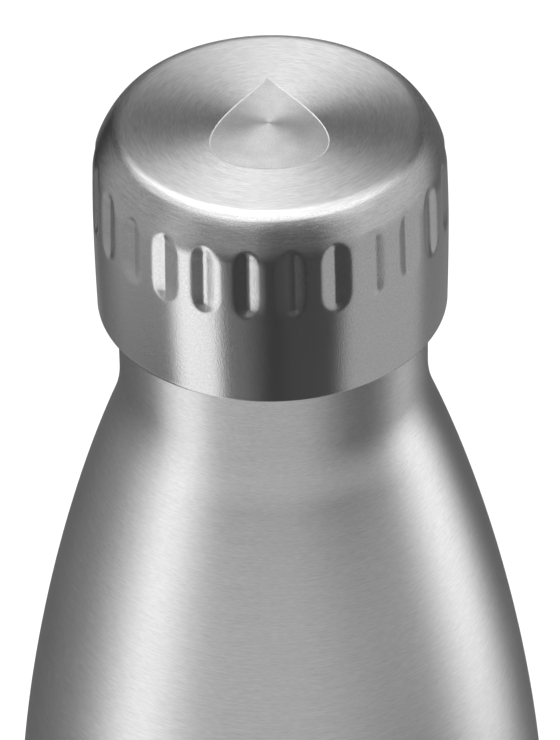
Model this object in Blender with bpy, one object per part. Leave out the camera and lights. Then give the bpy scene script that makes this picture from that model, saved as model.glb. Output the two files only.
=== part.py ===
"""Insulated water bottle: slim double-walled steel bottle with a fluted screw cap.

Lengths in the constants are millimetres; the model is built in metres, +Z up, standing on z = 0
with its axis on the Z axis. The bottle has a steel outer wall and a steel liner with a vacuum
between them, and a screw cap whose moulded plug carries a male thread that runs in a thread
rolled into the liner's neck.
"""
import math

import bmesh
import bpy
from mathutils import Vector

MM = 0.001

# ----------------------------------------------------------------- driving dimensions (mm)
EDGE_Z = 235.0          # height of the cap's lower edge
CAP_R = 22.43           # cap wall radius at its widest
CAP_H = 26.94           # cap height, lower edge to top disc
CAP_FOOT_R = 22.29      # cap wall radius just above its lower edge
CAP_CREASE_R = 22.18    # radius and height of the crease where the wall meets the shoulder
CAP_CREASE_Z = 22.30
CAP_WIDE_Z = 11.85      # height of the widest point of the barrel-shaped wall
CAP_DISC_R = 19.33      # radius of the flat top disc
CAP_SHEET = 0.50        # cap sheet thickness
CREASE_LEAN = 24.0      # lean of the shoulder off vertical at the crease, degrees
DISC_LEAN = 48.0        # and at the top disc's edge

FLUTES = 25
FLUTE_W = 4.4           # flute width
FLUTE_LO = 13.4         # flute lower and upper ends above the cap's edge
FLUTE_HI = 23.1
FLUTE_DEPTH = 0.55
FLUTE_PHASE = 6.4       # degrees from the front

NECK_R = 19.78          # outer neck radius
NECK_CORNER = 14.63     # corner between neck and shoulder, below the cap's edge
NECK_BLEND = 4.30       # length of the blend either side of that corner
SHOULDER_LEAN = 23.06   # lean of the shoulder off vertical at the corner, degrees
SHOULDER_H0 = 21.28     # handle lengths of the shoulder's curve
SHOULDER_H1 = 25.51
BODY_R = 35.56          # outer body radius
BODY_TOP = 93.02        # top of the straight body, below the cap's edge
WALL = 0.40             # steel wall thickness
BASE_ROUND = 6.0        # radius of the body's lower edge
LIP = 9.0               # mouth lip above the cap's edge (hidden in the cap)

LINER_R = 31.80         # liner body, outside radius
LINER_NECK_R = 18.50    # liner neck, outside radius
LINER_END = 17.0        # lower end of the liner tube

PITCH = 4.0             # thread pitch, one start, right-handed
THREAD_LO = -3.5        # threaded length, from the cap's edge
THREAD_HI = 4.5
FEMALE_R = 18.0         # female thread groove radius
MALE_R = 16.4           # male thread root radius
THREAD_H = 1.1          # thread height

SKIRT_R = 20.9          # moulded cap body, outside and inside radius of its skirt
SKIRT_IN = 20.2
FLANGE_Z = 11.1         # underside of the flange over the mouth gasket
PLUG_IN = 14.2          # plug cavity radius
PLUG_END = -5.0         # lower end of the plug, from the cap's edge

SEG = 32                # sides of the hidden turned pieces
SEG_OUT = 40            # sides of the outer wall
SEG_CAP = FLUTES * 3    # sides of the cap shell: crease and two edges per flute


# ----------------------------------------------------------------- scene and materials
for old in list(bpy.data.objects):
    bpy.data.objects.remove(old, do_unlink=True)


def material(name, colour, metallic, roughness):
    m = bpy.data.materials.new(name)
    m.use_nodes = True
    b = m.node_tree.nodes["Principled BSDF"]
    b.inputs["Base Color"].default_value = (*colour, 1.0)
    b.inputs["Metallic"].default_value = metallic
    b.inputs["Roughness"].default_value = roughness
    m.diffuse_color = (*colour, 1.0)
    return m


CAP_AXIS = bpy.data.objects.new("cap_axis", None)
CAP_AXIS.location = (0.0, 0.0, EDGE_Z * MM)
bpy.context.scene.collection.objects.link(CAP_AXIS)


def publish(name, bm, mat, parent=None):
    """Close a bmesh into a named object; under the cap axis its z counts from the cap's edge."""
    bmesh.ops.recalc_face_normals(bm, faces=bm.faces)
    me = bpy.data.meshes.new(name)
    bm.to_mesh(me)
    bm.free()
    me.materials.append(mat)
    me.shade_smooth()
    me.set_sharp_from_angle(angle=math.radians(32))
    ob = bpy.data.objects.new(name, me)
    bpy.context.scene.collection.objects.link(ob)
    if parent is not None:
        ob.parent = parent
    return ob


def turned(name, rows, mat, seg=SEG, parent=None, centre=(0.0, 0.0)):
    """Turn a closed section round the axis.

    rows is the section's outline in order. A row is (r, z), or a function of the angle that
    returns (r, z). A row at r = 0 is a single point on the axis, and a section with such ends
    isn't joined across the axis.
    """
    bm = bmesh.new()
    rings = []
    for row in rows:
        if not callable(row) and row[0] < 1e-6:
            rings.append([bm.verts.new((centre[0] * MM, centre[1] * MM, row[1] * MM))])
            continue
        ring = []
        for k in range(seg):
            a = 2.0 * math.pi * k / seg
            r, z = row(a) if callable(row) else row
            ring.append(bm.verts.new(((centre[0] + r * math.sin(a)) * MM,
                                      (centre[1] - r * math.cos(a)) * MM, z * MM)))
        rings.append(ring)
    pairs = list(zip(rings, rings[1:]))
    if len(rings[0]) > 1 and len(rings[-1]) > 1:
        pairs.append((rings[-1], rings[0]))
    for a, b in pairs:
        for k in range(seg):
            j = (k + 1) % seg
            if len(a) == 1:
                bm.faces.new((a[0], b[k], b[j]))
            elif len(b) == 1:
                bm.faces.new((a[k], b[0], a[j]))
            else:
                bm.faces.new((a[k], b[k], b[j], a[j]))
    return publish(name, bm, mat, parent)


# ----------------------------------------------------------------- curves of the sections
def bezier(p0, p1, p2, p3, n):
    out = []
    for i in range(n + 1):
        t = i / n
        s = 1.0 - t
        out.append((s**3 * p0[0] + 3*s*s*t * p1[0] + 3*s*t*t * p2[0] + t**3 * p3[0],
                    s**3 * p0[1] + 3*s*s*t * p1[1] + 3*s*t*t * p2[1] + t**3 * p3[1]))
    return out


def lean(deg):
    return math.sin(math.radians(deg)), math.cos(math.radians(deg))


def offset(points, d):
    """Shift a section line by d to its left-hand side as it is walked."""
    out = []
    for i, p in enumerate(points):
        a = points[max(i - 1, 0)]
        b = points[min(i + 1, len(points) - 1)]
        t = Vector((b[0] - a[0], b[1] - a[1])).normalized()
        out.append((p[0] - t.y * d, p[1] + t.x * d))
    return out


def shoulder(steps=7):
    """Outer wall from the neck down to the straight body, with the neck corner blended."""
    corner = (NECK_R, EDGE_Z - NECK_CORNER)
    sx, sz = lean(SHOULDER_LEAN)
    end = (BODY_R, EDGE_Z - BODY_TOP)
    fine = bezier(corner, (corner[0] + SHOULDER_H0 * sx, corner[1] - SHOULDER_H0 * sz),
                  (end[0], end[1] + SHOULDER_H1), end, 120)
    far = next(i for i, p in enumerate(fine)
               if math.hypot(p[0] - corner[0], p[1] - corner[1]) > NECK_BLEND)
    start, stop = (corner[0], corner[1] + NECK_BLEND), fine[far]
    blend = []
    for i in range(4):
        t = i / 3.0
        s = 1.0 - t
        blend.append((s*s * start[0] + 2*s*t * corner[0] + t*t * stop[0],
                      s*s * start[1] + 2*s*t * corner[1] + t*t * stop[1]))
    rest = [fine[far + round((120 - far) * i / steps)] for i in range(1, steps + 1)]
    return blend + rest


def arc(cr, cz, rad, a0, a1, n):
    out = []
    for i in range(n + 1):
        a = math.radians(a0 + (a1 - a0) * i / n)
        out.append((cr + rad * math.cos(a), cz + rad * math.sin(a)))
    return out


def window(z, lo, hi, fade):
    """1 between lo and hi, fading to 0 at both ends."""
    t = min((z - lo) / fade, (hi - z) / fade, 1.0)
    t = max(t, 0.0)
    return t * t * (3.0 - 2.0 * t)


def thread_phase(a, z):
    """Phase of the right-hand helix at an angle from the front and a height from the edge."""
    turn = a - math.pi / 2.0            # angle of the point measured from +X
    return 2.0 * math.pi * z / PITCH - turn


def thread_rows(lo, hi, step, radius):
    n = round((hi - lo) / step)
    rows = []
    for i in range(n + 1):
        z = lo + (hi - lo) * i / n
        rows.append((lambda zz: (lambda a: (radius(a, zz), zz)))(z))
    return rows


def lift(rows, dz):
    """Raise section rows by dz, also the ones given as functions."""
    out = []
    for row in rows:
        if callable(row):
            out.append((lambda f: (lambda a: (f(a)[0], f(a)[1] + dz)))(row))
        else:
            out.append((row[0], row[1] + dz))
    return out


def female(a, z):
    w = window(z, THREAD_LO, THREAD_HI, 1.0)
    return FEMALE_R - w * THREAD_H * 0.5 * (1.0 - math.cos(thread_phase(a, z)))


def male(a, z):
    w = window(z, THREAD_LO, THREAD_HI, 1.0)
    return MALE_R + w * THREAD_H * 0.5 * (1.0 + math.cos(thread_phase(a, z)))


# ----------------------------------------------------------------- materials
BRUSHED = material("brushed_steel", (0.62, 0.62, 0.61), 1.0, 0.32)
CAP_STEEL = material("cap_steel", (0.66, 0.66, 0.65), 1.0, 0.24)
LINER_STEEL = material("liner_steel", (0.60, 0.60, 0.58), 1.0, 0.38)
BASE_STEEL = material("base_steel", (0.58, 0.58, 0.57), 1.0, 0.35)
COPPER = material("copper_foil", (0.78, 0.42, 0.27), 1.0, 0.22)
SOLDER_GLASS = material("solder_glass", (0.10, 0.11, 0.13), 0.0, 0.25)
GETTER = material("getter_alloy", (0.32, 0.31, 0.30), 0.8, 0.65)
CLIP_STEEL = material("clip_steel", (0.70, 0.69, 0.66), 1.0, 0.30)
PLUG_PP = material("plug_plastic", (0.055, 0.057, 0.060), 0.0, 0.45)
FOAM = material("insulating_foam", (0.86, 0.83, 0.74), 0.0, 0.90)
SILICONE = material("silicone", (0.72, 0.73, 0.73), 0.0, 0.55)

# ----------------------------------------------------------------- outer wall
wall_out = ([(NECK_R, EDGE_Z + LIP - 0.2)] + shoulder()
            + arc(BODY_R - BASE_ROUND, BASE_ROUND, BASE_ROUND, 0, -50, 3))
wall_in = offset(wall_out, -WALL)
wall_in[0] = (NECK_R - WALL, EDGE_Z + LIP - 0.2)
turned("outer_shell", [(NECK_R - WALL / 2, EDGE_Z + LIP)] + wall_out + list(reversed(wall_in)),
       BRUSHED, seg=SEG_OUT)

# ----------------------------------------------------------------- base of the outer wall
# A pressed cup: its collar sits inside the wall, its foot ring carries on the wall's rounded
# edge and is flat on the ground, and its middle is recessed round the vacuum port.
fr = BODY_R - BASE_ROUND
cup = ([(34.70, 10.0)] + arc(fr, BASE_ROUND, 5.14, 0, -50, 3)
       + arc(fr, BASE_ROUND, BASE_ROUND, -54, -90, 3)
       + [(28.2, 0.0), (27.4, 0.5), (27.2, 3.2), (5.2, 3.2), (4.6, 5.0), (0.9, 5.0),
          (0.9, 5.6), (5.0, 5.6), (5.8, 3.8), (27.9, 3.8), (28.4, 1.4)]
       + arc(fr, BASE_ROUND, 4.60, -90, 0, 3) + [(34.16, 10.0)])
turned("outer_base", cup, BASE_STEEL)

turned("base_cover", [(0, 2.8), (26.7, 2.8), (26.7, 2.1), (26.1, 1.6), (24.9, 1.6),
                      (24.1, 2.2), (0, 2.2)], BASE_STEEL)

turned("vacuum_seal_bead", [(0, 4.7), (1.5, 4.6), (2.2, 4.1), (1.7, 3.5), (0, 3.2)],
       SOLDER_GLASS, seg=16)

# ----------------------------------------------------------------- getter on the base
GETTER_X = 14.0
turned("getter_pellet", [(0, 6.2), (3.2, 6.2), (3.5, 5.9), (3.5, 4.2), (0, 4.2)], GETTER,
       seg=20, centre=(GETTER_X, 0.0))


def strap(name, section, half_width, mat):
    """A bent strip: a section in the XZ plane, extruded along Y."""
    bm = bmesh.new()
    verts = [bm.verts.new((x * MM, -half_width * MM, z * MM)) for x, z in section]
    face = bm.faces.new(verts)
    res = bmesh.ops.extrude_face_region(bm, geom=[face])
    moved = [g for g in res["geom"] if isinstance(g, bmesh.types.BMVert)]
    bmesh.ops.translate(bm, verts=moved, vec=(0, 2 * half_width * MM, 0))
    return publish(name, bm, mat)


g = GETTER_X
strap("getter_clip",
      [(g - 7.0, 4.15), (g - 4.0, 4.15), (g - 4.0, 6.55), (g + 4.0, 6.55), (g + 4.0, 4.15),
       (g + 7.0, 4.15), (g + 7.0, 4.55), (g + 4.4, 4.55), (g + 4.4, 6.95), (g - 4.4, 6.95),
       (g - 4.4, 4.55), (g - 7.0, 4.55)], 1.5, CLIP_STEEL)

# ----------------------------------------------------------------- liner
neck_low = EDGE_Z - 12.5
lx, lz = lean(20.0)
liner_curve = bezier((LINER_NECK_R, neck_low), (LINER_NECK_R + 18.0 * lx, neck_low - 18.0 * lz),
                     (LINER_R, 166.0), (LINER_R, 138.0), 6)
liner_out = ([(18.88, EDGE_Z + LIP - 0.3), (18.88, EDGE_Z + 7.2), (LINER_NECK_R, EDGE_Z + 6.2)]
             + liner_curve + [(LINER_R, LINER_END)])
liner_in = offset(liner_curve, -WALL) + [(LINER_R - WALL, LINER_END)]
thread = lift(thread_rows(THREAD_LO, THREAD_HI, 0.5, female), EDGE_Z)
turned("inner_liner",
       liner_out + list(reversed(liner_in)) + thread
       + [(FEMALE_R, EDGE_Z + LIP - 0.3), (18.44, EDGE_Z + LIP - 0.05)], LINER_STEEL)

dome = [(LINER_R, 16.7)] + arc(LINER_R - 6.0, 14.5, 6.0, 0, -90, 3) + [(16.0, 9.4), (0, 10.4)]
dome_in = offset(dome, -WALL)
dome_in[0] = (LINER_R - WALL, 16.7)
dome_in[-1] = (0, 10.4 + WALL)
turned("liner_base", list(reversed(dome_in)) + dome, LINER_STEEL)

# radiation barrier: one wrap of thin foil round the liner's body
turned("copper_foil", [(32.2, 134.0), (32.2, 22.0), (32.1, 22.0), (32.1, 134.0)], COPPER)

# ----------------------------------------------------------------- cap shell
def flute(a, z):
    """Depth of the flute at an angle from the front and a height above the cap's edge."""
    pitch = 2.0 * math.pi / FLUTES
    u = (a - math.radians(FLUTE_PHASE)) / pitch
    x = (u - round(u)) * pitch * CAP_R
    half = FLUTE_W / 2.0
    zc = min(max(z, FLUTE_LO + half), FLUTE_HI - half)
    t = math.hypot(x, z - zc) / half
    if t >= 1.0:
        return 0.0
    return FLUTE_DEPTH * (1.0 - t) ** 1.15


def cap_wall(z):
    if z < CAP_WIDE_Z:
        return CAP_R - (CAP_R - CAP_FOOT_R) * ((CAP_WIDE_Z - z) / (CAP_WIDE_Z - 0.56)) ** 2
    return CAP_R - (CAP_R - CAP_CREASE_R) * ((z - CAP_WIDE_Z) / (CAP_CREASE_Z - CAP_WIDE_Z)) ** 2


def cap_row(r, z, extra=0.0):
    return lambda a: (r - extra - flute(a + phase_shift, z), z)


# the columns are turned so that each flute has one on its centre line
phase_shift = math.radians(FLUTE_PHASE)
sx0, sz0 = lean(CREASE_LEAN)
sx1, sz1 = lean(DISC_LEAN)
span = math.hypot(CAP_CREASE_R - CAP_DISC_R, CAP_H - CAP_CREASE_Z) * 0.36
crown = bezier((CAP_CREASE_R, CAP_CREASE_Z),
               (CAP_CREASE_R - span * sx0, CAP_CREASE_Z + span * sz0),
               (CAP_DISC_R + span * sx1, CAP_H - span * sz1), (CAP_DISC_R, CAP_H), 3)
outside = [(22.05, 0.0), (22.22, 0.18), (22.29, 0.56)]
outside += [(cap_wall(z), z) for z in (6.0, 12.6, 13.9, 15.4, 18.2, 21.1)]
outside += crown
inside = [(CAP_DISC_R - 0.2, CAP_H - CAP_SHEET)] + [
    (p[0] - CAP_SHEET * 0.80, p[1] - CAP_SHEET * 0.60) for p in (crown[1], crown[0])]
inside += [(cap_wall(z) - CAP_SHEET, z) for z in (20.9, 15.6, 13.0)]
inside += [(21.72, 0.5), (21.62, 0.0)]


def spun(rows):
    return [cap_row(r, z) for r, z in rows]


cap = turned("cap_shell", [(0, CAP_H - CAP_SHEET)] + spun(inside) + spun(outside) + [(0, CAP_H)],
             CAP_STEEL, seg=SEG_CAP, parent=CAP_AXIS)
cap.rotation_euler = (0.0, 0.0, phase_shift)

# ----------------------------------------------------------------- moulded plug and its parts
turned("plug_body",
       [(0, 24.2), (PLUG_IN, 24.2), (PLUG_IN, PLUG_END), (15.6, PLUG_END), (16.0, PLUG_END + 0.5)]
       + thread_rows(THREAD_LO, THREAD_HI, 0.5, male)
       + [(MALE_R, FLANGE_Z), (SKIRT_IN, FLANGE_Z), (SKIRT_IN, 1.4), (20.4, 1.0), (20.7, 1.0),
          (SKIRT_R, 1.4), (SKIRT_R, 21.6), (19.7, 24.0), (18.2, 25.6), (17.4, 26.0), (0, 26.0)],
       PLUG_PP, parent=CAP_AXIS)

turned("foam_core", [(0, 23.9), (13.4, 23.9), (13.9, 23.4), (13.9, -3.3), (0, -3.3)], FOAM,
       seg=32, parent=CAP_AXIS)

turned("plug_cover", [(0, -3.7), (13.5, -3.7), (13.9, -4.1), (13.9, -5.3), (15.7, -5.3),
                      (16.0, -5.6), (16.0, -6.2), (15.2, -6.8), (0, -6.8)], PLUG_PP,
       parent=CAP_AXIS)

turned("mouth_gasket", [(16.8, 10.6), (17.0, 10.8), (19.5, 10.8), (19.7, 10.6), (19.7, 9.5),
                        (19.5, 9.3), (17.0, 9.3), (16.8, 9.5)], SILICONE, parent=CAP_AXIS)
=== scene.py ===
"""Looks of the insulated water bottle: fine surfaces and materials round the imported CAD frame.

Lengths in the sections are millimetres; meshes are in metres, in the frame's own coordinates.
"""
import math

import bmesh
import bpy
import numpy as np
from mathutils import Matrix


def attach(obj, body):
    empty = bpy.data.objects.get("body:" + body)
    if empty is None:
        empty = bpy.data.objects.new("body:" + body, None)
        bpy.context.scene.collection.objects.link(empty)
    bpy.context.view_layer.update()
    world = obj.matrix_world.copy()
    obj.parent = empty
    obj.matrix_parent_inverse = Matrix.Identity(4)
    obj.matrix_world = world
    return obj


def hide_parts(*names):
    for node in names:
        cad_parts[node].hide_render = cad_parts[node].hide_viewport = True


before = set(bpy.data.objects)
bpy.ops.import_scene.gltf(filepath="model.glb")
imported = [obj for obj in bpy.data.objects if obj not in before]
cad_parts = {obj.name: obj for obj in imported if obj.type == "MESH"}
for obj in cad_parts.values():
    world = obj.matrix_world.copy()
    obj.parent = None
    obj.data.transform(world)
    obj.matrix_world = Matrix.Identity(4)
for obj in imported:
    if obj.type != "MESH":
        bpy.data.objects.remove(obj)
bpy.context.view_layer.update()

MM = 0.001
EDGE = 235.0            # height of the cap's lower edge

# --------------------------------------------------------------------------- section helpers


def bezier(p0, p1, p2, p3, n):
    t = np.linspace(0.0, 1.0, n + 1)[:, None]
    s = 1.0 - t
    p0, p1, p2, p3 = (np.array(p, float) for p in (p0, p1, p2, p3))
    return [tuple(p) for p in s**3 * p0 + 3*s*s*t * p1 + 3*s*t*t * p2 + t**3 * p3]


def blend(a, corner, b, n):
    """Round a corner with a curve that leaves a and reaches b in the corner's directions."""
    out = []
    for i in range(n + 1):
        t = i / n
        s = 1.0 - t
        out.append((s*s * a[0] + 2*s*t * corner[0] + t*t * b[0],
                    s*s * a[1] + 2*s*t * corner[1] + t*t * b[1]))
    return out


def arc(cr, cz, rad, a0, a1, n):
    return [(cr + rad * math.cos(math.radians(a0 + (a1 - a0) * i / n)),
             cz + rad * math.sin(math.radians(a0 + (a1 - a0) * i / n))) for i in range(n + 1)]


def rounded(points, radius, n=4, keep_ends=True):
    """Round every corner of an open section line by about the radius, where there is room."""
    out = [points[0]]
    for a, c, b in zip(points, points[1:], points[2:]):
        la, lb = math.dist(a, c), math.dist(c, b)
        t = min(radius, la * 0.45, lb * 0.45)
        p = (c[0] + (a[0] - c[0]) * t / la, c[1] + (a[1] - c[1]) * t / la)
        q = (c[0] + (b[0] - c[0]) * t / lb, c[1] + (b[1] - c[1]) * t / lb)
        out += blend(p, c, q, n)
    return out + [points[-1]]


def loop_rounded(points, radius, n=4):
    """The same for a closed section."""
    return rounded([points[-1]] + points + [points[0]], radius, n)[1:-1]


def offset(points, d):
    out = []
    for i, p in enumerate(points):
        a = points[max(i - 1, 0)]
        b = points[min(i + 1, len(points) - 1)]
        tx, tz = b[0] - a[0], b[1] - a[1]
        k = math.hypot(tx, tz)
        out.append((p[0] - tz / k * d, p[1] + tx / k * d))
    return out


def lift(points, dz):
    return [(r, z + dz) for r, z in points]


# --------------------------------------------------------------------------- mesh helpers


def piece(name, verts, faces, sharp=50.0):
    me = bpy.data.meshes.new(name)
    me.from_pydata(verts, [], faces)
    me.update()
    # turn the faces outwards: the volume they enclose is positive
    co = np.empty(len(me.vertices) * 3)
    me.vertices.foreach_get("co", co)
    co = co.reshape(-1, 3)
    me.calc_loop_triangles()
    tri = np.empty(len(me.loop_triangles) * 3, dtype=np.int64)
    me.loop_triangles.foreach_get("vertices", tri)
    a, b, c = (co[tri.reshape(-1, 3)[:, k]] for k in range(3))
    if float(np.einsum("ij,ij->i", a, np.cross(b, c)).sum()) < 0.0:
        me.flip_normals()
    me.shade_smooth()
    me.set_sharp_from_angle(angle=math.radians(sharp))
    ob = bpy.data.objects.new(name, me)
    bpy.context.scene.collection.objects.link(ob)
    return ob


def turned(name, section, seg, radial=None, sharp=50.0, bands=()):
    """Turn a section of (r, z) points round the axis.

    r is a number or an array of one radius per angle; radial(angle, r, z) may change a number.
    bands gives (first row, material index) for the rows that aren't of material 0.
    """
    ang = np.arange(seg) * (2.0 * math.pi / seg)
    sa, ca = np.sin(ang), -np.cos(ang)
    verts, rings = [], []
    for r, z in section:
        whole = np.ndim(r) == 0
        if whole and r < 1e-6:
            rings.append([len(verts)])
            verts.append((0.0, 0.0, z * MM))
            continue
        rr = r if not whole else (np.full(seg, r) if radial is None else radial(ang, r, z))
        first = len(verts)
        rings.append(list(range(first, first + seg)))
        verts += list(zip((rr * sa * MM).tolist(), (rr * ca * MM).tolist(), [z * MM] * seg))
    pairs = list(zip(rings, rings[1:]))
    if len(rings[0]) > 1 and len(rings[-1]) > 1:
        pairs.append((rings[-1], rings[0]))
    faces, mats = [], []
    for row, (a, b) in enumerate(pairs):
        which = 0
        for first, index in bands:
            if row >= first:
                which = index
        for k in range(seg):
            j = k + 1 if k + 1 < seg else 0
            if len(a) == 1:
                faces.append((a[0], b[k], b[j]))
            elif len(b) == 1:
                faces.append((a[k], b[0], a[j]))
            else:
                faces.append((a[k], b[k], b[j], a[j]))
            mats.append(which)
    ob = piece(name, verts, faces, sharp)
    if bands:
        ob.data.polygons.foreach_set("material_index", mats)
    return ob


# --------------------------------------------------------------------------- node helpers


class Nodes:
    def __init__(self, tree):
        self.t = tree
        self.x = 0

    def new(self, kind, **props):
        n = self.t.nodes.new(kind)
        self.x += 40
        n.location = (self.x, 0)
        for k, v in props.items():
            setattr(n, k, v)
        return n

    def put(self, socket, value):
        if isinstance(value, bpy.types.NodeSocket):
            self.t.links.new(value, socket)
        elif value is not None:
            socket.default_value = value

    def math(self, op, a, b=None, c=None, clamp=False):
        n = self.new("ShaderNodeMath", operation=op, use_clamp=clamp)
        for s, v in zip(n.inputs, (a, b, c)):
            self.put(s, v)
        return n.outputs[0]

    def span(self, value, f0, f1, t0=0.0, t1=1.0, kind="SMOOTHSTEP"):
        n = self.new("ShaderNodeMapRange", interpolation_type=kind)
        for s, v in zip(n.inputs, (value, f0, f1, t0, t1)):
            self.put(s, v)
        return n.outputs[0]

    def xyz(self, v):
        n = self.new("ShaderNodeSeparateXYZ")
        self.put(n.inputs[0], v)
        return n.outputs

    def join(self, x, y, z):
        n = self.new("ShaderNodeCombineXYZ")
        for s, v in zip(n.inputs, (x, y, z)):
            self.put(s, v)
        return n.outputs[0]

    def noise(self, vec, scale, detail=2.0, rough=0.5, distort=0.0):
        n = self.new("ShaderNodeTexNoise")
        self.put(n.inputs["Vector"], vec)
        n.inputs["Scale"].default_value = scale
        n.inputs["Detail"].default_value = detail
        n.inputs["Roughness"].default_value = rough
        n.inputs["Distortion"].default_value = distort
        return n.outputs["Fac"]

    def mix(self, fac, a, b):
        n = self.new("ShaderNodeMix", data_type="RGBA")
        self.put(n.inputs[0], fac)
        self.put(n.inputs[6], a)
        self.put(n.inputs[7], b)
        return n.outputs[2]


def new_material(name):
    m = bpy.data.materials.new(name)
    m.use_nodes = True
    t = m.node_tree
    bsdf = t.nodes["Principled BSDF"]
    return m, Nodes(t), bsdf


def grey(v, tint=(1.0, 1.0, 1.0)):
    return (v * tint[0], v * tint[1], v * tint[2], 1.0)


def turned_coords(n):
    """Local coordinates round the axis: unit direction, radius, height, and the way along a section."""
    tc = n.new("ShaderNodeTexCoord")
    x, y, z = n.xyz(tc.outputs["Object"])
    r = n.math("SQRT", n.math("ADD", n.math("MULTIPLY", x, x), n.math("MULTIPLY", y, y)))
    safe = n.math("MAXIMUM", r, 0.0002)
    return tc, x, y, z, r, n.math("DIVIDE", x, safe), n.math("DIVIDE", y, safe)


def steel(name, base, rough, aniso, streak_len=11.0, streak_freq=5200.0, bump=0.25, rough_var=0.06,
          tint=(0.994, 0.994, 0.994), smudge=0.05, coarse=900.0, contrast=0.10, grain=0.0,
          grain_size=7000.0, lines_from=None, rim=None):
    """Steel finished with lines that run round the axis.

    The line pattern is stretched round the axis and fine along the section, so it is rings on a
    flat top and level lines on a wall. grain adds a fine satin texture without direction.
    lines_from=(z0, z1) fades the lines out below a height. rim=(r0, r1, rough) eases the roughness
    to another value from radius r0 to r1.
    """
    m, n, b = new_material(name)
    tc, x, y, z, r, ux, uy = turned_coords(n)
    q = n.math("SUBTRACT", z, r)

    def lines(length, freq, detail, shift):
        v = n.join(n.math("MULTIPLY_ADD", ux, length, shift), n.math("MULTIPLY", uy, length),
                   n.math("MULTIPLY", q, freq))
        return n.noise(v, 1.0, detail, 0.62)

    fine = lines(streak_len, streak_freq, 2.0, 0.0)
    long = lines(streak_len * 0.2, coarse, 2.0, 7.3)
    cloud = n.noise(tc.outputs["Object"], 55.0, 3.0, 0.55)
    speck = n.noise(tc.outputs["Object"], grain_size, 1.0, 0.5) if grain > 0.0 else None
    if lines_from is not None:
        some = n.span(z, lines_from[0] * MM, lines_from[1] * MM, 0.05, 1.0)
        fine = n.math("ADD", n.math("MULTIPLY", n.math("SUBTRACT", fine, 0.5), some), 0.5)
        long = n.math("ADD", n.math("MULTIPLY", n.math("SUBTRACT", long, 0.5), some), 0.5)
    # colour: faint lines and a slow change of tone
    lum = n.math("ADD", n.math("MULTIPLY", n.math("SUBTRACT", fine, 0.5), contrast),
                 n.math("MULTIPLY", n.math("SUBTRACT", long, 0.5), contrast * 0.4))
    lum = n.math("ADD", lum, n.math("MULTIPLY", n.math("SUBTRACT", cloud, 0.5), smudge))
    if speck is not None:
        lum = n.math("ADD", lum, n.math("MULTIPLY", n.math("SUBTRACT", speck, 0.5), 0.35))
    colour = n.mix(n.math("ADD", n.math("MULTIPLY", lum, 2.5), 0.5, clamp=True),
                   grey(base * 0.80, tint), grey(min(base * 1.20, 0.98), tint))
    ro = n.math("ADD", n.math("MULTIPLY", n.math("SUBTRACT", fine, 0.5), rough_var * 2.0), rough)
    ro = n.math("ADD", ro, n.math("MULTIPLY", n.math("SUBTRACT", long, 0.5), rough_var))
    ro = n.math("ADD", ro, n.math("MULTIPLY", n.math("SUBTRACT", cloud, 0.5), rough_var))
    if rim is not None:
        ro = n.math("ADD", ro, n.span(r, rim[0] * MM, rim[1] * MM, 0.0, rim[2] - rough))
    b.inputs["Metallic"].default_value = 1.0
    b.inputs["Anisotropic"].default_value = aniso
    b.inputs["Anisotropic Rotation"].default_value = 0.25
    tan = n.new("ShaderNodeTangent", direction_type="RADIAL", axis="Z")
    n.put(b.inputs["Tangent"], tan.outputs[0])
    n.put(b.inputs["Base Color"], colour)
    n.put(b.inputs["Roughness"], ro)
    height = n.math("ADD", n.math("MULTIPLY", fine, 0.7), n.math("MULTIPLY", long, 0.3))
    bp = n.new("ShaderNodeBump")
    bp.inputs["Strength"].default_value = bump
    bp.inputs["Distance"].default_value = 0.00002
    n.put(bp.inputs["Height"], height)
    last = bp.outputs[0]
    if speck is not None:
        gb = n.new("ShaderNodeBump")
        gb.inputs["Strength"].default_value = grain
        gb.inputs["Distance"].default_value = 0.00001
        n.put(gb.inputs["Height"], speck)
        n.put(gb.inputs["Normal"], last)
        last = gb.outputs[0]
    n.put(b.inputs["Normal"], last)
    return m


def etched(name, base, rough, aniso, tint=(0.994, 0.994, 0.994)):
    """Laser-etched steel: matte, with a fine frosted grain over a trace of the turned lines."""
    m, n, b = new_material(name)
    tc = n.new("ShaderNodeTexCoord")
    grit = n.noise(tc.outputs["Object"], 9000.0, 2.0, 0.6)
    cloud = n.noise(tc.outputs["Object"], 300.0, 2.0, 0.5)
    f = n.math("ADD", n.math("MULTIPLY", grit, 0.7), n.math("MULTIPLY", cloud, 0.3))
    n.put(b.inputs["Base Color"], n.mix(n.span(f, 0.3, 0.7), grey(base * 0.78, tint), grey(base * 1.20, tint)))
    n.put(b.inputs["Roughness"], n.math("MULTIPLY_ADD", grit, 0.12, rough - 0.06))
    b.inputs["Metallic"].default_value = 1.0
    b.inputs["Anisotropic"].default_value = aniso
    b.inputs["Anisotropic Rotation"].default_value = 0.25
    tan = n.new("ShaderNodeTangent", direction_type="RADIAL", axis="Z")
    n.put(b.inputs["Tangent"], tan.outputs[0])
    bp = n.new("ShaderNodeBump")
    bp.inputs["Strength"].default_value = 0.5
    bp.inputs["Distance"].default_value = 0.00001
    n.put(bp.inputs["Height"], grit)
    n.put(b.inputs["Normal"], bp.outputs[0])
    return m


DROP_LEN, DROP_WIDE = 9.8, 10.4     # the etched droplet: half length, and width factor


def droplet(a):
    """Radius of the droplet's outline at the angles a; its tip points to the back."""
    lo, hi = np.zeros(len(a)), np.full(len(a), DROP_LEN * 1.001)
    for _ in range(40):
        mid = (lo + hi) / 2.0
        u = np.clip(-np.cos(a) * mid / DROP_LEN, -1.0, 1.0)
        wide = DROP_WIDE * np.sqrt(1.0 - u * u) * ((1.0 - u) / 2.0) ** 0.72
        inside = np.abs(np.sin(a)) * mid < wide
        lo, hi = np.where(inside, mid, lo), np.where(inside, hi, mid)
    return np.maximum(lo, 0.5)


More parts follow.
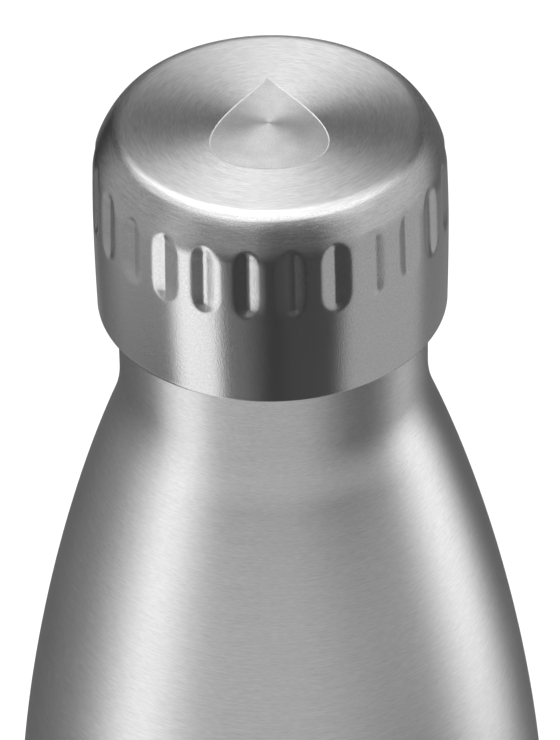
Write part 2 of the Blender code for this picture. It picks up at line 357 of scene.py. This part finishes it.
def moulded(name, colour, rough, scale=900.0, bump=0.12, vary=0.25, spec=0.5):
    """Moulded plastic or rubber: fine leather-like spark texture and slow changes of tone."""
    m, n, b = new_material(name)
    tc = n.new("ShaderNodeTexCoord")
    g = n.noise(tc.outputs["Object"], scale, 3.0, 0.6)
    c = n.noise(tc.outputs["Object"], 70.0, 2.0, 0.5)
    lo = tuple(v * (1.0 - vary) for v in colour) + (1.0,)
    hi = tuple(min(v * (1.0 + vary), 1.0) for v in colour) + (1.0,)
    n.put(b.inputs["Base Color"], n.mix(n.math("ADD", n.math("MULTIPLY", g, 0.6), n.math("MULTIPLY", c, 0.4)), lo, hi))
    n.put(b.inputs["Roughness"], n.math("ADD", n.math("MULTIPLY", n.math("SUBTRACT", g, 0.5), 0.16), rough))
    b.inputs["Specular IOR Level"].default_value = spec
    bp = n.new("ShaderNodeBump")
    bp.inputs["Strength"].default_value = bump
    bp.inputs["Distance"].default_value = 0.00004
    n.put(bp.inputs["Height"], g)
    n.put(b.inputs["Normal"], bp.outputs[0])
    return m


# --------------------------------------------------------------------------- materials
M_BODY = steel("body_brushed_steel", 0.60, 0.34, 0.70, streak_len=24.0, streak_freq=6200.0,
               bump=0.32, rough_var=0.03, contrast=0.48, coarse=3200.0)
M_CAP = steel("cap_satin_steel", 0.62, 0.20, 0.70, streak_len=14.0, streak_freq=6600.0,
              bump=0.22, rough_var=0.02, contrast=0.60, coarse=2400.0, grain=1.0, grain_size=5200.0,
              lines_from=(EDGE + 21.0, EDGE + 25.0), rim=(20.3, 19.2, 0.28))
M_TOP = steel("cap_spun_top", 0.62, 0.35, 0.86, streak_len=10.0, streak_freq=6600.0,
              bump=0.35, rough_var=0.03, contrast=0.64, coarse=2400.0, rim=(18.0, 19.4, 0.28))
M_MARK = etched("cap_etched_mark", 0.58, 0.42, 0.55)
# the band on the etched recess's edge: its matte frosted grain is the etch's own, and its lighter tone is a painted
# highlight of light catching the edge
M_OUTLINE_PAINTED_HIGHLIGHT = etched("cap_etched_outline_painted_highlight", 0.80, 0.50, 0.0)
M_LINER = steel("liner_steel", 0.58, 0.34, 0.35, streak_len=6.0, streak_freq=2600.0,
                bump=0.15, rough_var=0.06)
M_BASE = steel("base_steel", 0.56, 0.33, 0.60, streak_len=9.0, streak_freq=4200.0,
               bump=0.25, rough_var=0.06)
M_CLIP = steel("clip_steel", 0.64, 0.30, 0.30, streak_len=2.0, streak_freq=3000.0, bump=0.2)
M_FOIL = steel("copper_foil", 0.78, 0.20, 0.40, streak_len=5.0, streak_freq=1500.0,
               tint=(1.0, 0.56, 0.37), bump=0.4, rough_var=0.08)
M_GETTER = moulded("getter_alloy", (0.30, 0.29, 0.28), 0.62, scale=2600.0, bump=0.5)
M_GLASS = moulded("solder_glass", (0.075, 0.085, 0.105), 0.16, scale=500.0, bump=0.05)
M_PLUG = moulded("plug_plastic", (0.050, 0.052, 0.056), 0.42, scale=1500.0, bump=0.22)
M_FOAM = moulded("insulating_foam", (0.80, 0.76, 0.64), 0.88, scale=1900.0, bump=0.9, spec=0.2)
M_SILICONE = moulded("silicone", (0.66, 0.67, 0.67), 0.52, scale=1200.0, bump=0.10)

# --------------------------------------------------------------------------- outer wall
NECK_R, BODY_R, WALL = 19.78, 35.56, 0.40
corner = (NECK_R, EDGE - 14.63)
end = (BODY_R, EDGE - 93.02)
lean = math.radians(23.06)
curve = bezier(corner, (corner[0] + 21.28 * math.sin(lean), corner[1] - 21.28 * math.cos(lean)),
               (end[0], end[1] + 25.51), end, 160)
far = next(i for i, p in enumerate(curve) if math.dist(p, corner) > 4.30)
shoulder = blend((NECK_R, corner[1] + 4.30), corner, curve[far], 14) + curve[far + 1:]
wall_out = ([(NECK_R, EDGE + 8.6), (NECK_R, EDGE + 4.0), (NECK_R, EDGE - 2.0), (NECK_R, EDGE - 6.0)]
            + shoulder + [(BODY_R, z) for z in (120.0, 95.0, 70.0, 45.0, 24.0, 12.0)]
            + arc(BODY_R - 6.0, 6.0, 6.0, 0, -50, 16))
wall_in = offset(wall_out, -WALL)
wall_in = [(NECK_R - WALL, EDGE + 8.6)] + wall_in[1:-1:2] + wall_in[-1:]
lip = [(NECK_R - WALL / 2 + WALL / 2 * math.cos(a), EDGE + 8.8 + WALL / 2 * math.sin(a))
       for a in np.linspace(math.pi, 0.0, 9)]
outer = turned("outer_wall", lip + wall_out + wall_in[::-1], 256)

# --------------------------------------------------------------------------- base
fr = BODY_R - 6.0
cup = (arc(fr, 6.0, 5.14, 0, -50, 10)
       + arc(fr, 6.0, 6.0, -54, -90, 10)
       + rounded([(28.9, 0.0), (28.2, 0.0), (27.4, 0.5), (27.2, 3.2), (5.2, 3.2), (4.6, 5.0), (0.9, 5.0),
                  (0.9, 5.6), (5.0, 5.6), (5.8, 3.8), (27.9, 3.8), (28.4, 1.4)], 0.5)[1:-1]
       + arc(fr, 6.0, 4.60, -90, 0, 14) + [(34.16, 9.8), (34.43, 10.0), (34.70, 9.8)])
base = turned("outer_base_cup", cup, 192)
cover = turned("base_cover_disc",
               [(0, 2.8)] + rounded([(20, 2.8), (26.7, 2.8), (26.7, 2.1), (26.1, 1.6), (24.9, 1.6),
                                     (24.1, 2.2), (12.2, 2.2), (11.8, 2.05), (11.4, 2.2), (6, 2.2)], 0.35)
               + [(0, 2.2)], 192)
bead = turned("glass_seal_bead", [(0, 4.7)] + rounded([(0.7, 4.68), (1.6, 4.6), (2.2, 4.1), (1.8, 3.5),
                                                      (0.8, 3.25)], 0.5) + [(0, 3.2)], 48)

# --------------------------------------------------------------------------- getter
GX = 14.0
tablet = turned("getter_tablet", [(0, 6.2)] + rounded([(2.0, 6.2), (3.5, 6.2), (3.5, 4.2), (2.0, 4.2)], 0.3)
                + [(0, 4.2)], 48)
tablet.data.transform(Matrix.Translation((GX * MM, 0, 0)))
sec = loop_rounded([(GX - 7.0, 4.15), (GX - 4.0, 4.15), (GX - 4.0, 6.55), (GX + 4.0, 6.55),
                    (GX + 4.0, 4.15), (GX + 7.0, 4.15), (GX + 7.0, 4.55), (GX + 4.4, 4.55),
                    (GX + 4.4, 6.95), (GX - 4.4, 6.95), (GX - 4.4, 4.55), (GX - 7.0, 4.55)], 0.22, 4)
k = len(sec)
sv, sf = [], []
for yy, grow in ((-1.5, 0.06), (-1.44, 0.0), (1.44, 0.0), (1.5, 0.06)):
    cx, cz = GX, 5.5
    sv += [(px * MM, yy * MM, (pz) * MM) for px, pz in sec]
for j in range(3):
    for i in range(k):
        a, b2 = j * k + i, j * k + (i + 1) % k
        sf.append((a, b2, b2 + k, a + k))
sf.append(tuple(range(k)))
sf.append(tuple(range(4 * k - 1, 3 * k - 1, -1)))
strap = piece("getter_strap", sv, sf, 40.0)

# --------------------------------------------------------------------------- liner
PITCH, T_LO, T_HI, T_H = 4.0, -3.5, 4.5, 1.1
GROOVE_R, ROOT_R = 18.0, 16.4


def window(z):
    t = max(min(min((z - T_LO), (T_HI - z)), 1.0), 0.0)
    return t * t * (3.0 - 2.0 * t)


def phase(a, z):
    return 2.0 * math.pi * z / PITCH - (a - math.pi / 2.0)


def female(a, r, z):
    zz = z - EDGE
    if r > GROOVE_R + 0.001 or not T_LO < zz < T_HI:
        return np.full(len(a), r)
    return r - window(zz) * T_H * 0.5 * (1.0 - np.cos(phase(a, zz)))


def male(a, r, z):
    zz = z - EDGE
    if abs(r - ROOT_R) > 0.001 or not T_LO < zz < T_HI:
        return np.full(len(a), r)
    return r + window(zz) * T_H * 0.5 * (1.0 + np.cos(phase(a, zz)))


low = EDGE - 12.5
l20 = math.radians(20.0)
liner_curve = bezier((18.5, low), (18.5 + 18.0 * math.sin(l20), low - 18.0 * math.cos(l20)),
                     (31.8, 166.0), (31.8, 138.0), 40)
thread_z = [EDGE + T_LO + i * 0.1 for i in range(int((T_HI - T_LO) / 0.1) + 1)]
liner_in = [(31.8 - WALL, 17.0), (31.8 - WALL, 60.0), (31.8 - WALL, 100.0)] + offset(liner_curve, -WALL)[::-1]
liner_sec = (rounded([(18.88, EDGE + 8.3), (18.88, EDGE + 7.2), (18.5, EDGE + 6.2), (18.5, EDGE - 4.0)], 0.5)
             + liner_curve + [(31.8, 100.0), (31.8, 60.0), (31.8, 17.0)] + liner_in
             + [(GROOVE_R, EDGE - 8.0)] + [(GROOVE_R, z) for z in thread_z] + [(GROOVE_R, EDGE + 6.5)]
             + [(18.44 - 0.44 * math.cos(a), EDGE + 8.3 + 0.65 * math.sin(a)) for a in np.linspace(0.0, math.pi, 11)[:-1]])
liner = turned("liner_wall", liner_sec, 160, female)

dome = [(31.8, 16.7), (31.8, 15.6)] + arc(25.8, 14.5, 6.0, 0, -86, 12) + bezier((22.0, 8.85), (14.0, 9.5), (6.0, 10.4), (0.0, 10.4), 10)
dome_in = offset(dome, -WALL)
dome_in[0] = (31.8 - WALL, 16.7)
dome_in[-1] = (0.0, 10.4 + WALL)
bottom = turned("liner_bottom", dome_in[::-1] + dome, 160)

foil = turned("foil_wrap", [(32.2, 134.0), (32.2, 78.0), (32.2, 22.0), (32.1, 22.0), (32.1, 78.0), (32.1, 134.0)], 160)

# --------------------------------------------------------------------------- cap shell
FLUTES, F_W, F_LO, F_HI, F_END, F_D, F_PHASE = 25, 3.85, 13.1, 23.1, 3.0, 0.47, 6.4
CAP_R, CAP_H, SHEET = 22.43, 26.94, 0.50


def flute(a, r, z):
    """Fluted wall: oblong dents with straight flanks, a soft crease and soft rims."""
    zz = z - EDGE
    if r < 17.0 or zz < F_LO - 0.6 or zz > F_HI + 0.6:
        return np.full(len(a), r)
    p = 2.0 * math.pi / FLUTES
    u = (a - math.radians(F_PHASE)) / p
    xx = (u - np.round(u)) * p * CAP_R
    half = F_W / 2.0
    zc = min(max(zz, F_LO + F_END), F_HI - F_END)
    v = abs(zz - zc) / F_END
    end = 1.0 - math.sqrt(1.0 - v * v) if v < 0.95 else 0.688 + 3.04 * (v - 0.95)
    t = np.abs(xx) / half
    c, e = 0.18, 0.24
    t = np.where(t < c, (t * t + c * c) / (2.0 * c), t) + end * 0.85    # soft crease and rounded ends
    fade = min(max((1.15 - v) / 0.55, 0.0), 1.0)
    fade *= fade * (3.0 - 2.0 * fade)
    d = np.where(t < 1.0 - e, 1.0 - t, np.where(t < 1.0 + e, (1.0 + e - t) ** 2 / (4.0 * e), 0.0))
    return r - F_D * d * fade


def cap_wall(z):
    if z < 11.85:
        return CAP_R - (CAP_R - 22.29) * ((11.85 - z) / 11.29) ** 2
    return CAP_R - (CAP_R - 22.18) * ((z - 11.85) / 10.45) ** 2


crease, disc = (22.18, 22.30), (19.33, CAP_H)
la, lb = math.radians(24.0), math.radians(48.0)
span = math.dist(crease, disc) * 0.36
crown = bezier(crease, (crease[0] - span * math.sin(la), crease[1] + span * math.cos(la)),
               (disc[0] + span * math.sin(lb), disc[1] - span * math.cos(lb)), disc, 60)
i0 = next(i for i, p in enumerate(crown) if math.dist(p, crease) > 1.30)
i1 = next(i for i, p in enumerate(crown) if math.dist(p, disc) < 0.95)
below = (cap_wall(21.00), 21.00)
cap_out = ([(cap_wall(z), z) for z in (0.4, 0.8, 2.0, 4.0, 6.0, 8.0, 10.0, 11.85)]
           + [(cap_wall(z), z) for z in np.arange(12.4, 20.9, 0.20).tolist()]
           + blend(below, crease, crown[i0], 14)
           + crown[i0 + 1:i1:2] + blend(crown[i1], disc, (disc[0] - 1.1, CAP_H), 12))
foot = [(22.04 - 0.25 * math.cos(a), 0.25 - 0.25 * math.sin(a)) for a in np.linspace(0.0, math.pi, 11)]
cap_in = ([(18.4, CAP_H - SHEET), (19.0, CAP_H - SHEET - 0.05)]
          + [(r - SHEET * 0.80, z - SHEET * 0.60) for r, z in crown[::-6]]
          + [(cap_wall(z) - SHEET, z) for z in (21.0, 19.5, 18.0, 16.5, 15.4, 14.4, 13.4, 12.8, 8.0, 3.0)])
cap_cols = FLUTES * 24
drop = droplet(np.arange(cap_cols) * (2.0 * math.pi / cap_cols))
wall_rows = [(0.0, CAP_H - SHEET), (9.0, CAP_H - SHEET)] + cap_in + foot + cap_out
disc_rows = [(r, CAP_H) for r in (17.4, 15.5, 13.5, 11.8)] + [(drop + 0.16, CAP_H), (drop + 0.11, CAP_H)]
mark_rows = ([(drop, CAP_H - 0.03), (drop - 0.05, CAP_H - 0.03)]
             + [(drop * k, CAP_H - 0.03) for k in (0.75, 0.5, 0.25)] + [(0.0, CAP_H - 0.03)])
edge_row = next(i for i, p in enumerate(wall_rows) if i > 30 and p[1] > CAP_H - 0.30)
# material 3 is the step round the etched recess, in the lighter steel that paints the edge's highlight
cap = turned("cap_fluted_shell", lift(wall_rows + disc_rows + mark_rows, EDGE), cap_cols, flute, sharp=70.0,
             bands=((edge_row, 1), (len(wall_rows) + len(disc_rows) - 1, 3), (len(wall_rows) + len(disc_rows) + 1, 2)))

# --------------------------------------------------------------------------- plug and its parts
male_z = [T_LO + i * 0.1 for i in range(int((T_HI - T_LO) / 0.1) + 1)]
plug_low = rounded([(0.0, 24.2), (14.2, 24.2), (14.2, -5.0), (15.9, -5.0), (ROOT_R, T_LO)], 0.35)[1:]
plug_top = rounded([(ROOT_R, T_HI), (ROOT_R, 11.1), (20.2, 11.1), (20.2, 1.0), (20.9, 1.0), (20.9, 21.6),
                    (19.7, 24.0), (18.2, 25.6), (17.4, 26.0), (0.0, 26.0)], 0.30)[:-1]
plug = turned("threaded_plug",
              lift([(0.0, 24.2)] + plug_low[:-1] + [(ROOT_R, z) for z in male_z] + plug_top[1:] + [(0.0, 26.0)], EDGE),
              160, male)
foam = turned("foam_block", lift([(0.0, 23.9)] + rounded([(6.0, 23.9), (13.9, 23.9), (13.9, -3.3), (6.0, -3.3)], 0.5)
                                 + [(0.0, -3.3)], EDGE), 96)
endcap = turned("plug_end_cover",
                lift([(0.0, -3.7)] + rounded([(8.0, -3.7), (13.9, -3.7), (13.9, -5.3), (16.0, -5.3), (16.0, -6.8),
                                              (9.2, -6.8), (8.8, -6.6), (8.4, -6.8), (3.0, -6.8)], 0.4)
                     + [(0.0, -6.8)], EDGE), 160)
gasket = turned("gasket_ring", lift(loop_rounded([(16.8, 10.8), (19.7, 10.8), (19.7, 9.3), (16.8, 9.3)], 0.45, 5), EDGE), 128)

# --------------------------------------------------------------------------- who is what
PIECES = [
    (outer, "outer_shell", "bottle", "brushed_steel", M_BODY),
    (base, "outer_base", "bottle", "base_steel", M_BASE),
    (cover, "base_cover", "bottle", "base_steel", M_BASE),
    (bead, "vacuum_seal_bead", "bottle", "solder_glass", M_GLASS),
    (tablet, "getter_pellet", "bottle", "getter_alloy", M_GETTER),
    (strap, "getter_clip", "bottle", "clip_steel", M_CLIP),
    (liner, "inner_liner", "bottle", "liner_steel", M_LINER),
    (bottom, "liner_base", "bottle", "liner_steel", M_LINER),
    (foil, "copper_foil", "bottle", "copper_foil", M_FOIL),
    (gasket, "mouth_gasket", "seal", "silicone", M_SILICONE),
    (cap, "cap_shell", "cap", "cap_steel", M_CAP),
    (plug, "plug_body", "cap", "plug_plastic", M_PLUG),
    (foam, "foam_core", "cap", "insulating_foam", M_FOAM),
    (endcap, "plug_cover", "cap", "plug_plastic", M_PLUG),
]
for ob, node, body, slot, mat in PIECES:
    ob.data.materials.append(mat)
    if ob is cap:
        ob.data.materials.append(M_TOP)
        ob.data.materials.append(M_MARK)
        ob.data.materials.append(M_OUTLINE_PAINTED_HIGHLIGHT)
    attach(ob, body)
    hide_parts(node)

# --------------------------------------------------------------------------- floor
ring = [(30.0 * math.sin(2 * math.pi * i / 96), -30.0 * math.cos(2 * math.pi * i / 96), -0.00004) for i in range(96)]
fm = bpy.data.meshes.new("floor")
fm.from_pydata(ring, [], [tuple(range(96))])
floor = bpy.data.objects.new("floor", fm)
bpy.context.scene.collection.objects.link(floor)
fmat, fn, fb = new_material("pale_floor")
tcf = fn.new("ShaderNodeTexCoord")
fn.put(fb.inputs["Base Color"], fn.mix(fn.noise(tcf.outputs["Object"], 9.0, 2.0), grey(0.86), grey(0.88)))
fb.inputs["Roughness"].default_value = 0.9
fb.inputs["Specular IOR Level"].default_value = 0.1
floor.data.materials.append(fmat)
floor.visible_glossy = False      # the steel sees the studio below it, not the floor

# --------------------------------------------------------------------------- studio
# The steel reflects two domes of soft panels, one that lights only the cap and one that lights only
# the body, as when a product's parts are lit one after the other. The panels were fitted to the
# photo's tones and rounded. All else gets plain even light from the world.
# Panels: azimuth from, to, softness, elevation from, to, softness, brightness. Azimuth is in degrees
# from the front, positive to the right, or from the back for BACK.
FRONT, BACK = 0, 1
CAP_BASE = 0.05
CAP_PANELS = [
    (-200, 200, 1, 53, 100, 16, 1.55, FRONT),     # overhead softbox
    (-9, 32, 8, 44, 69, 6, 2.25, BACK),            # its bright far end
    (-150, -11, 29, 38, 52, 6, 0.7, FRONT),       # its spill on the left
    (27, 118, 39, 33, 56, 16, 0.41, FRONT),       # and on the right
    (-67, -35.5, 6, -100, -22, 8, 1.17, FRONT),      # tall strip on the left
    (-36, -12, 14, -100, -27, 9, 0.17, FRONT),    # grey gap beside it
    (46, 112, 7, -100, -10, 7, 0.44, FRONT),      # pale card on the right
    (40, 118, 22, -8, 58, 10, 0.62, FRONT),       # pale wall above it
    (-128, -48, 19, -39, 42, 6, 0.37, FRONT),     # left wall
    (5, 42, 8, -100, -20, 8, 0.03, FRONT),        # faint light beside the dark gap
    (-38, 24, 3, -7, 75, 19, 0.08, FRONT),        # dim middle, above
    (-69, -7, 10, -11, 67, 11, 0.20, FRONT),
    (-68, 48, 12, -50, -32, 6, 0.12, BACK),       # low light behind
    (-70, 25, 4, -48, 32, 6, 0.10, BACK),
]
BODY_BASE = 0.06
BODY_PANELS = [
    (-200, 200, 1, 80, 100, 20, 0.8, FRONT),      # overhead
    (-74, 84, 7, 19, 68, 7, 1.3, BACK),           # wall behind
    (-91, -52, 22, -22, 43, 12, 1.0, FRONT),      # tall strip on the left, upper part
    (-90, -55, 13, -90, -26, 10, 1.3, FRONT),     # and lower part
    (-74, 87, 13, -23, 1, 3, 0.7, FRONT),         # front fill
    (-58, 41, 26, -65, -25, 9, 0.6, FRONT),       # and its low end
    (96, 116, 21, -30, -6, 8, 2.4, FRONT),        # lamp on the right
    (83, 100, 16, -28, 17, 6, 0.7, FRONT),
    (96, 124, 9, 7, 84, 7, 2.75, FRONT),           # its upper end
    (-130, -74, 40, -32, 62, 11, 0.28, FRONT),    # left wall
    (-74, 26, 21, -1, 62, 10, 0.38, FRONT),
]


def between(n, v, a, b, soft):
    return n.math("MULTIPLY", n.span(v, a - soft, a + soft), n.span(v, b - soft, b + soft, 1.0, 0.0))


def panel_light(n, vec, panels, base_light):
    """Brightness of the panels in the direction vec."""
    nv = n.new("ShaderNodeVectorMath", operation="NORMALIZE")
    n.put(nv.inputs[0], vec)
    dx, dy, dz = n.xyz(nv.outputs[0])
    az = n.math("MULTIPLY", n.math("ARCTAN2", dx, n.math("MULTIPLY", dy, -1.0)), 180.0 / math.pi)
    el = n.math("MULTIPLY", n.math("ARCSINE", dz), 180.0 / math.pi)
    baz = n.math("SUBTRACT", n.math("WRAP", n.math("ADD", az, 360.0), 360.0, 0.0), 180.0)
    total = None
    for a0, a1, sa, e0, e1, se, val, side in panels:
        f = n.math("MULTIPLY", between(n, baz if side == BACK else az, a0, a1, sa), between(n, el, e0, e1, se))
        f = n.math("MULTIPLY", f, val)
        total = f if total is None else n.math("ADD", total, f)
    return n.math("ADD", total, base_light)


def dome(name, radius, panels, base_light, lit_pieces):
    """A large see-through dome that shines on the given pieces' gloss alone."""
    bm = bmesh.new()
    bmesh.ops.create_icosphere(bm, subdivisions=4, radius=radius)
    me = bpy.data.meshes.new(name)
    bm.to_mesh(me)
    bm.free()
    ob = bpy.data.objects.new(name, me)
    bpy.context.scene.collection.objects.link(ob)
    m = bpy.data.materials.new(name)
    m.use_nodes = True
    m.node_tree.nodes.clear()
    m.cycles.emission_sampling = "NONE"
    n = Nodes(m.node_tree)
    tc = n.new("ShaderNodeTexCoord")
    em = n.new("ShaderNodeEmission")
    n.put(em.inputs["Strength"], panel_light(n, tc.outputs["Object"], panels, base_light))
    tr = n.new("ShaderNodeBsdfTransparent")
    ad = n.new("ShaderNodeAddShader")
    n.put(ad.inputs[0], em.outputs[0])
    n.put(ad.inputs[1], tr.outputs[0])
    mo = n.new("ShaderNodeOutputMaterial")
    n.put(mo.inputs["Surface"], ad.outputs[0])
    me.materials.append(m)
    for ray in ("camera", "diffuse", "transmission", "volume_scatter", "shadow"):
        setattr(ob, "visible_" + ray, False)
    lit = bpy.data.collections.new(name + "_receivers")
    for o in lit_pieces:
        lit.objects.link(o)
    ob.light_linking.receiver_collection = lit
    return ob


dome("cap_studio", 12.0, CAP_PANELS, CAP_BASE, [cap, plug, endcap, foam, gasket])
dome("body_studio", 14.0, BODY_PANELS, BODY_BASE, [outer, base, cover, bead, tablet, strap, liner, bottom, foil])

world = bpy.data.worlds.new("studio")
bpy.context.scene.world = world
world.use_nodes = True
wt = world.node_tree
wt.nodes.clear()
w = Nodes(wt)
even = w.new("ShaderNodeBackground")
even.inputs["Color"].default_value = (0.98, 0.98, 0.98, 1.0)
plain = w.new("ShaderNodeBackground")
plain.inputs["Color"].default_value = (0.93, 0.93, 0.93, 1.0)
dark = w.new("ShaderNodeBackground")
dark.inputs["Strength"].default_value = 0.0
path = w.new("ShaderNodeLightPath")
gloss = w.new("ShaderNodeMixShader")
wt.links.new(path.outputs["Is Glossy Ray"], gloss.inputs[0])
wt.links.new(even.outputs[0], gloss.inputs[1])
wt.links.new(dark.outputs[0], gloss.inputs[2])
mixer = w.new("ShaderNodeMixShader")
wt.links.new(path.outputs["Is Camera Ray"], mixer.inputs[0])
wt.links.new(gloss.outputs[0], mixer.inputs[1])
wt.links.new(plain.outputs[0], mixer.inputs[2])
out = w.new("ShaderNodeOutputWorld")
wt.links.new(mixer.outputs[0], out.inputs["Surface"])

key = bpy.data.lights.new("top_softbox", "AREA")
key.shape = "DISK"
key.size = 1.6
key.energy = 14.0
keyo = bpy.data.objects.new("top_softbox", key)
keyo.location = (-0.5, -0.2, 1.7)
keyo.rotation_euler = (math.radians(-7.0), math.radians(-16.0), 0.0)
keyo.visible_glossy = False
bpy.context.scene.collection.objects.link(keyo)

# --------------------------------------------------------------------------- camera
UNIT = 22.5 * MM
ELEV, ROLL = math.radians(37.0333), math.radians(1.1364)
FOCAL_PX, SCALE_PX, OFF_X, OFF_Y = 6489.94, 176.774, -6.05, 75.3086
f_dir = np.array([0.0, math.cos(ELEV), -math.sin(ELEV)])
r_dir = np.array([1.0, 0.0, 0.0])
u_dir = np.array([0.0, math.sin(ELEV), math.cos(ELEV)])
rim = np.array([0.0, 0.0, EDGE * MM])
eye = rim - f_dir * (FOCAL_PX / SCALE_PX * UNIT)
aim = rim - r_dir * (OFF_X / SCALE_PX * UNIT) - u_dir * (OFF_Y / SCALE_PX * UNIT)
back = eye - aim
back /= np.linalg.norm(back)
right = np.cross(u_dir, back)
right /= np.linalg.norm(right)
up = np.cross(back, right)
right2 = right * math.cos(ROLL) - up * math.sin(ROLL)
up2 = up * math.cos(ROLL) + right * math.sin(ROLL)
cam = bpy.data.cameras.new("camera")
cam.sensor_width = 36.0
cam.lens = FOCAL_PX * 36.0 / 740.0
cam.clip_start, cam.clip_end = 0.05, 200.0
camo = bpy.data.objects.new("camera", cam)
rot = Matrix((right2.tolist(), up2.tolist(), back.tolist())).transposed().to_4x4()
camo.matrix_world = Matrix.Translation(eye.tolist()) @ rot
bpy.context.scene.collection.objects.link(camo)
bpy.context.scene.camera = camo

sc = bpy.context.scene
sc.view_settings.view_transform = "Standard"
sc.view_settings.look = "None"
sc.cycles.max_bounces = 8
sc.cycles.transparent_max_bounces = 16
sc.cycles.use_denoising = True
